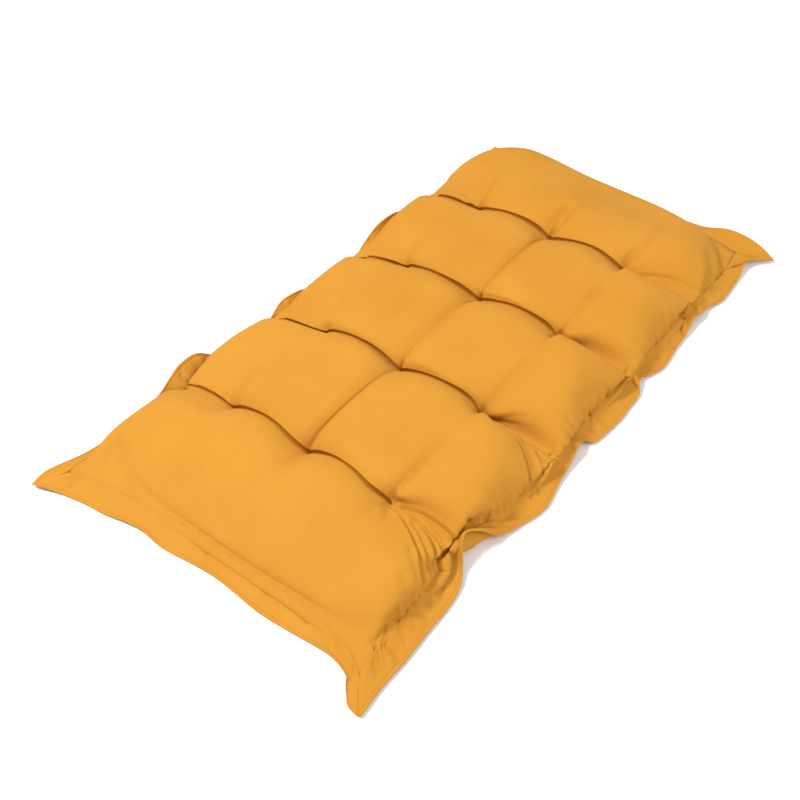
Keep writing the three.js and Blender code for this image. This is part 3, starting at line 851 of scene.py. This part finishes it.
# The flange: how far out each line of points is, from 0 at the seam to 1 at the hem, and half the cloth's
# thickness there. Stitches run along two lines where it is pinched
FLANGE_PROFILE = (
    (-0.03, 0.5), (0.0, 0.4), (0.03, 0.9), (0.07, 1.4), (0.12, 1.5),
    *[((18 + 7 * k) / 100, 1.5) for k in range(9)],
    (0.80, 1.5), (0.835, 1.0), (0.85, 0.7), (0.865, 1.1), (0.9, 1.7), (0.95, 1.8), (0.985, 1.4),
)
SEWN_LINES = (2, 16)
FLANGE_WIDTH = 40.0
FLANGE_LOW = 1.6

# Folds in the flange, placed one by one: the start, the middle and the end, each by mm along the seam and share
# of the way out, the height, negative for a trough, and the width
FLANGE_FOLDS = {
    "front": table("""
    145 0.02 142 0.33 146 0.62 -4.5 3, 152 0.05 153 0.35 156 0.6 2.5 4, 159 0.5 172 0.38 176 0.05 -4 3,
    111 0 123 0.38 134 0.8 -4 3, 104 0.05 114 0.42 124 0.75 2.2 5, 83 0 89 0.35 83 0.6 -3 3,
    58 0.02 66 0.43 78 0.88 -4 3.2, 50 0.1 57 0.45 66 0.8 2.2 5, 30 0.1 34 0.4 40 0.7 -2 4,
    281 0.3 299 0.32 321 0.45 -4.5 2.8, 313 0.02 340 0.4 362 0.95 -5 2.8, 306 0.15 330 0.5 350 0.95 2.5 5,
    334 0 343 0.25 356 0.6 -3.5 2.6, 353 0 352 0.16 352 0.4 -3 2.6, 397 0 390 0.18 384 0.4 -4 2.6,
    401 0.02 403 0.33 404 0.6 -2.8 3, 372 0.05 370 0.25 372 0.5 -2.2 3, 573 0 560 0.32 573 0.9 -5 2.8,
    582 0.1 574 0.42 584 0.92 2.6 5, 587 0.2 592 0.6 594 0.98 -3 3, 622 0.05 625 0.48 628 0.9 -2.2 4,
    686 0.02 691 0.55 685 0.98 -4 3, 696 0.05 700 0.5 697 0.95 2.4 4.5, 774 0 775 0.38 771 0.8 -2.6 3,
    818 0.3 819 0.7 818 0.98 -3 3, 869 0.02 859 0.55 847 0.98 -5 2.8, 879 0.05 870 0.55 860 0.95 3 5,
    915 0.02 910 0.55 900 0.98 -4.5 3, 925 0.1 920 0.55 912 0.95 2.5 5, 1052 0 1055 0.5 1056 0.98 -6 3,
    1063 0.05 1066 0.5 1070 0.95 4 6, 985 0.05 990 0.45 988 0.9 -2.4 4
    """),
    "near": table("""
    129 0.02 115 0.38 104 0.75 -1.6 4, 70 0.05 64 0.4 59 0.8 -1.8 4, 197 0.02 181 0.33 168 0.65 -1.2 5,
    310 0.02 294 0.35 281 0.7 -1.2 5, 20 0.1 26 0.5 40 0.9 -2.4 4, 492 0.1 480 0.45 476 0.8 -2 4,
    530 0.05 522 0.4 520 0.85 -3 3.5
    """),
    "back": table("""
    24 0.05 30 0.4 38 0.85 -3.5 3.5, 190 0.05 200 0.45 196 0.9 -4 3.5, 235 0.05 228 0.45 236 0.9 -4 3.5,
    262 0.05 270 0.45 262 0.9 3 5, 420 0.05 428 0.45 424 0.9 -4 3.5, 470 0.05 462 0.45 470 0.9 3 5,
    640 0.05 648 0.45 640 0.9 -4 3.5, 700 0.05 690 0.45 700 0.9 -3.5 3.5, 760 0.05 768 0.45 762 0.9 3 5,
    850 0.05 858 0.45 852 0.9 -4 3.5, 930 0.05 924 0.45 932 0.9 -3.5 3.5
    """),
}

# Fine gathers across the seam: how many, their depth and width
GATHERS = {"front": (64, 1.5, 3.4), "back": (60, 1.5, 3.4), "near": (24, 0.6, 4.0), "far": (24, 0.8, 4.0)}


def flange_sheet(seam, hem):
    """The middle of the flange's cloth: rows of points from the seam out to the hem, all round it."""
    out = np.array([a for a, _ in FLANGE_PROFILE] + [1.0])
    sheet = seam[:, None] + (hem - seam)[:, None] * out[None, :, None]
    # the cloth falls away from the seam, then lies flatter
    sheet[..., 2] -= np.maximum(out * (1 - out), 0) * np.maximum(seam[:, 2] - hem[:, 2], 0)[:, None]
    return sheet, out


def sheet_normals(sheet):
    around = np.roll(sheet, -1, 0) - np.roll(sheet, 1, 0)
    return -unit(np.cross(around, np.gradient(sheet, axis=1)))


def side_places(seam):
    """For each side, its points in the loop and how far along its seam each one is, in mm."""
    nx, ny, n = len(CLOTH_X), len(CLOTH_Y), len(seam)
    sides = {
        "front": np.arange(nx),
        "far": np.arange(nx - 1, nx + ny - 1),
        "back": np.arange(nx + ny - 2, 2 * nx + ny - 2)[::-1],
        "near": np.concatenate([[0], np.arange(2 * nx + ny - 3, n)[::-1]]),
    }
    return {side: (index, running(steps_of(seam[index]))) for side, index in sides.items()}


def fold(sheet, normals, place_on_side, out, line, height, width, fade=0.3):
    """Raises or sinks the flange's cloth along a line through three places."""
    index, length = place_on_side
    at = np.stack(np.meshgrid(length, out * FLANGE_WIDTH, indexing="ij"), -1)
    line = curve(np.reshape(line, (-1, 2)) * (1, FLANGE_WIDTH), 7)
    best, place = nearest(at, line)
    place = place / (len(line) - 1)
    strength = limited((1 - place) / fade) * limited(place / 0.05)
    shape = np.exp(-best / width) if height < 0 else np.exp(-(best / width) ** 2)
    sheet[index] += normals[index] * (shape * strength * height)[..., None]


def folded_flange(seam, hem):
    sheet, out = flange_sheet(seam, hem)
    normals = sheet_normals(sheet)
    places = side_places(seam)
    for side, folds in FLANGE_FOLDS.items():
        for *line, height, width in folds:
            fold(sheet, normals, places[side], out, line, height, width)
    draw = np.random.default_rng(11)
    for side, (count, depth, width) in GATHERS.items():
        for where in np.sort(draw.uniform(0.02, 0.98, count)) * places[side][1][-1]:
            reach, slant = draw.uniform(0.25, 0.8), draw.normal(0, 5)
            line = (where, 0.0, where + slant / 2, reach / 2, where + slant, reach)
            height, wide = -depth * draw.uniform(0.5, 1.4), width * draw.uniform(0.6, 1.2)
            fold(sheet, normals, places[side], out, line, height, wide, fade=0.7)
    sheet[..., 2] = np.maximum(sheet[..., 2], FLANGE_LOW)
    return sheet


def quads(*corners):
    return [tuple(int(v) for v in q) for q in np.stack(corners, -1).reshape(-1, 4)]


def linked(name, data):
    made = bpy.data.objects.new(name, data)
    bpy.context.scene.collection.objects.link(made)
    return made


def mesh_object(name, points, faces, material, uv=None):
    """A piece of the cushion, from points in mm and, for cloth, their places on the flat pattern."""
    mesh = bpy.data.meshes.new(name)
    where = (np.asarray(points) + np.array(TUFT_MIDDLE)) * MM
    mesh.from_pydata([tuple(p) for p in where], [], faces)
    mesh.validate()
    for polygon in mesh.polygons:
        polygon.use_smooth = True
    if uv is not None:
        layer = mesh.uv_layers.new(name="flat_pattern")
        corner = np.zeros(len(mesh.loops), np.int32)
        mesh.loops.foreach_get("vertex_index", corner)
        layer.data.foreach_set("uv", (np.asarray(uv)[corner] * MM).astype(np.float32).ravel())
    mesh.materials.append(material)
    made = linked(name, mesh)
    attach(made, "root")
    return made


def body(top, under):
    """One closed mesh: the top panel, and the under panel at a quarter of its fineness, joined at the seam."""
    n, m = top.shape[:2]
    index = np.arange(n * m).reshape(n, m)
    faces = quads(index[:-1, :-1], index[1:, :-1], index[1:, 1:], index[:-1, 1:])
    inner = resampled(resampled(under, LINES_X[::4], 0), LINES_Y[::4], 1)[1:-1, 1:-1]
    inner[..., 2] = np.maximum(inner[..., 2], 0)
    points = np.concatenate([top.reshape(-1, 3), inner.reshape(-1, 3)])
    uv = np.concatenate([np.stack(np.meshgrid(x, y, indexing="ij"), -1).reshape(-1, 2)
                         for x, y in ((CLOTH_X, CLOTH_Y), (CLOTH_X[4:-4:4], CLOTH_Y[4:-4:4]))])
    low = index[::4, ::4].copy()
    low[1:-1, 1:-1] = n * m + np.arange(inner.shape[0] * inner.shape[1]).reshape(inner.shape[:2])
    last_i, last_j = low.shape[0] - 2, low.shape[1] - 2
    for i in range(last_i + 1):
        for j in range(last_j + 1):
            # beside the seam a face takes in the top's three finer points there
            a, b = slice(4 * i + 1, 4 * i + 4), slice(4 * j + 1, 4 * j + 4)
            sides = (
                (low[i, j], index[0, b], i == 0),
                (low[i, j + 1], index[a, -1], j == last_j),
                (low[i + 1, j + 1], index[-1, b][::-1], i == last_i),
                (low[i + 1, j], index[a, 0][::-1], j == 0),
            )
            faces.append(tuple(int(k) for corner, more, seam in sides for k in (corner, *more[:3 * seam])))
    return points, faces, uv


def flange_shell(sheet, seam):
    """The flange's two faces, joined at the hem: points, faces and places on the flat pattern."""
    n = sheet_normals(sheet)
    half = np.array([h for _, h in FLANGE_PROFILE])[None, :, None]
    upper, lower = sheet[:, :-1] + n[:, :-1] * half, sheet[:, :-1] - n[:, :-1] * half
    lower[..., 2] = np.maximum(lower[..., 2], 0)
    rings = np.concatenate([upper, sheet[:, -1:], lower[:, ::-1]], 1)
    index = np.arange(rings[..., 0].size).reshape(rings.shape[:2])
    turned, across = np.roll(index, -1, 0), np.roll(index, -1, 1)
    faces = quads(index, across, np.roll(across, -1, 0), turned)
    outward = running(np.linalg.norm(np.diff(rings, axis=1), axis=-1).mean(0))
    uv = np.stack(np.meshgrid(running(steps_of(seam)), outward, indexing="ij"), -1)
    return rings.reshape(-1, 3), faces, uv.reshape(-1, 2)


# A stitch: from one to the next, its length, radius and sides. Its rings: the share of its length, their size
# and how far they stand out of the cloth, for its radius
STITCH = {"pitch": 3.6, "length": 2.7, "radius": 0.32, "sides": 5}
STITCH_RINGS = ((0.0, 0.35, -0.3), (0.2, 1.0, 0.15), (0.8, 1.0, 0.15), (1.0, 0.35, -0.3))


def stitches(line, normals):
    """A line of thread: one short rounded stitch after another, half sunk in the cloth."""
    place = running(steps_of(line))
    starts = np.arange(0, place[-1] - STITCH["pitch"], STITCH["pitch"])
    radius, sides = STITCH["radius"], STITCH["sides"]
    turn = np.arange(sides) * 2 * np.pi / sides

    def read(values, at):
        return np.stack([np.interp(at, place, values[:, k]) for k in range(3)], -1)

    points = []
    for share, size, lift in STITCH_RINGS:
        at = starts + share * STITCH["length"]
        centre = read(line, at)
        ahead = read(line, at + 0.5) - centre
        n = unit(read(normals, at))
        side = unit(np.cross(n, ahead))
        points.append((centre + n * lift * radius)[:, None] + radius * size * (
            np.cos(turn)[:, None] * side[:, None] + np.sin(turn)[:, None] * n[:, None]))
    points = np.stack(points, 1)
    index = np.arange(points[..., 0].size).reshape(points.shape[:3])
    faces = []
    for k in range(len(STITCH_RINGS) - 1):
        for m in range(sides):
            o = (m + 1) % sides
            faces += quads(index[:, k, m], index[:, k + 1, m], index[:, k + 1, o], index[:, k, o])
    for end in (index[:, 0], index[:, -1, ::-1]):
        faces += [tuple(int(v) for v in face) for face in end]
    return points.reshape(-1, 3), faces


def sewn_lines(sheet):
    """The lines of stitches round the flange's upper face."""
    n = sheet_normals(sheet)
    made, faces, start = [], [], 0
    for k in SEWN_LINES:
        line = sheet[:, k] + n[:, k] * FLANGE_PROFILE[k][1]
        points, f = stitches(np.vstack([line, line[:1]]), np.vstack([n[:, k], n[:1, k]]))
        made.append(points)
        faces += [tuple(v + start for v in face) for face in f]
        start += len(points)
    return np.concatenate(made), faces


# ---- materials

def linear(hexa):
    c = [int(hexa[i:i + 2], 16) / 255 for i in (0, 2, 4)]
    return (*[v / 12.92 if v <= 0.04045 else ((v + 0.055) / 1.055) ** 2.4 for v in c], 1)


class Material:
    """A Principled material, and short ways to add nodes to it."""

    def __init__(self, name, inputs):
        self.made = bpy.data.materials.new(name)
        self.made.use_nodes = True
        self.made.node_tree.nodes.clear()
        out = self.add("OutputMaterial")
        self.shader = self.add("BsdfPrincipled", inputs)
        self.set(out, {0: self.shader.outputs[0]})

    def set(self, node, inputs):
        """Sets each input of a node to a value, or links it to another node's output."""
        for socket, value in inputs.items():
            if isinstance(value, bpy.types.NodeSocket):
                self.made.node_tree.links.new(value, node.inputs[socket])
            else:
                node.inputs[socket].default_value = value

    def add(self, kind, inputs=None, **settings):
        node = self.made.node_tree.nodes.new("ShaderNode" + kind)
        for key, value in settings.items():
            setattr(node, key, value)
        self.set(node, inputs or {})
        return node

    def ramp(self, factor, *stops):
        node = self.add("ValToRGB", {"Fac": factor})
        for element, (position, colour) in zip(node.color_ramp.elements, stops):
            element.position, element.color = position, colour
        return node.outputs["Color"]


THREAD_PITCH = 0.0009
WAVE_PERIOD = 2 * math.pi / 20       # of a wave texture at scale 1


def canvas():
    """Plain-woven mustard cotton, a little uneven."""
    m = Material("mustard_canvas", {
        "Roughness": 0.86, "Specular IOR Level": 0.12, "Sheen Weight": 0.04, "Sheen Roughness": 0.5,
        "Sheen Tint": linear("FFE0A8"),
    })
    place = m.add("UVMap", uv_map="flat_pattern").outputs["UV"]
    waves = [
        m.add("TexWave", {"Scale": WAVE_PERIOD / THREAD_PITCH, "Distortion": 0.9, "Detail": 2.0,
                          "Detail Scale": 1.4, "Vector": place},
              wave_type="BANDS", bands_direction=direction, wave_profile="SIN").outputs["Fac"]
        for direction in ("X", "Y")
    ]
    weave = m.add("Math", {0: waves[0], 1: waves[1]}, operation="MULTIPLY").outputs[0]
    slub = m.add("TexNoise", {"Scale": 420, "Detail": 4, "Vector": place}).outputs["Fac"]
    soft = m.add("TexNoise", {"Scale": 9, "Detail": 5, "Roughness": 0.6, "Vector": place}).outputs["Fac"]
    fine = m.add("Bump", {"Strength": 0.35, "Distance": 0.0003, "Height": weave}).outputs[0]
    rough = m.add("Bump", {"Strength": 0.25, "Distance": 0.0008, "Height": slub, "Normal": fine}).outputs[0]
    tone = m.ramp(soft, (0.3, linear("BF832A")), (0.7, linear("C68A31")))
    # painted shade: the base colour is darkened where the weave lies low between the threads and left lighter
    # on the raised threads, as light would fall on them
    dip = m.ramp(weave, (0.0, (0.86, 0.82, 0.74, 1)), (0.5, (1, 1, 1, 1)))
    mix = m.add("Mix", {"Factor": 0.5, 6: tone, 7: dip}, data_type="RGBA", blend_type="MULTIPLY")
    m.set(m.shader, {"Normal": rough, "Base Color": mix.outputs[2]})
    return m.made


def thread():
    m = Material("mustard_thread", {
        "Base Color": linear("B87C2B"), "Roughness": 0.6, "Sheen Weight": 0.15,
    })
    place = m.add("TexCoord").outputs["Object"]
    twist = m.add("TexNoise", {"Scale": 1500, "Vector": place}).outputs["Fac"]
    bump = m.add("Bump", {"Strength": 0.4, "Distance": 0.0002, "Height": twist}).outputs[0]
    m.set(m.shader, {"Normal": bump})
    return m.made


# ---- the cushion

top, under = relax()
top = creased(top)
seam_line = loop(top)
cloth = canvas()

points, faces, uv = body(top, under)
cover = mesh_object("cover", points, faces, cloth, uv)
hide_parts("cushion")

sheet = folded_flange(seam_line, hem_loop())
points, faces, uv = flange_shell(sheet, seam_line)
flange = mesh_object("flange", points, faces, cloth, uv)
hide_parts("cushion")

mesh_object("stitches", *sewn_lines(sheet), thread())

# ---- the floor, the lights and the camera

FLOOR_HALF = 6.0


def floor():
    mesh = bpy.data.meshes.new("floor")
    corners = [(x * FLOOR_HALF, y * FLOOR_HALF, 0) for x, y in ((-1, -1), (1, -1), (1, 1), (-1, 1))]
    mesh.from_pydata(corners, [], [(0, 1, 2, 3)])
    mesh.materials.append(Material("pale_floor", {"Base Color": (0.9, 0.9, 0.9, 1), "Roughness": 0.9}).made)
    linked("floor", mesh)


def placed(name, data, place, backward):
    """An object at a place, facing away from a direction."""
    made = linked(name, data)
    made.location = place
    made.rotation_mode = "QUATERNION"
    made.rotation_quaternion = (-Vector(backward)).to_track_quat("-Z", "Y")
    return made


def area_light(name, place, size, power):
    """A round lamp that shines at the middle of the floor."""
    data = bpy.data.lights.new(name, "AREA")
    data.shape, data.size, data.energy = "DISK", size, power
    placed(name, data, place, place)


floor()
area_light("key", (-1.35, 1.25, 3.05), 0.9, 111)
area_light("fill", (0.2, -2.6, 2.0), 2.0, 37)
bpy.context.scene.view_settings.view_transform = "Standard"
world = bpy.data.worlds.new("studio")
bpy.context.scene.world = world
world.use_nodes = True
background = world.node_tree.nodes["Background"]
background.inputs["Color"].default_value = (1, 1, 1, 1)
background.inputs["Strength"].default_value = 0.70

camera_data = bpy.data.cameras.new("camera")
camera_data.lens, camera_data.sensor_width = 50, 36
flat = math.cos(ELEVATION)
bpy.context.scene.camera = placed("camera", camera_data, CAMERA, (
    math.sin(AZIMUTH) * flat, -math.cos(AZIMUTH) * flat, math.sin(ELEVATION)))
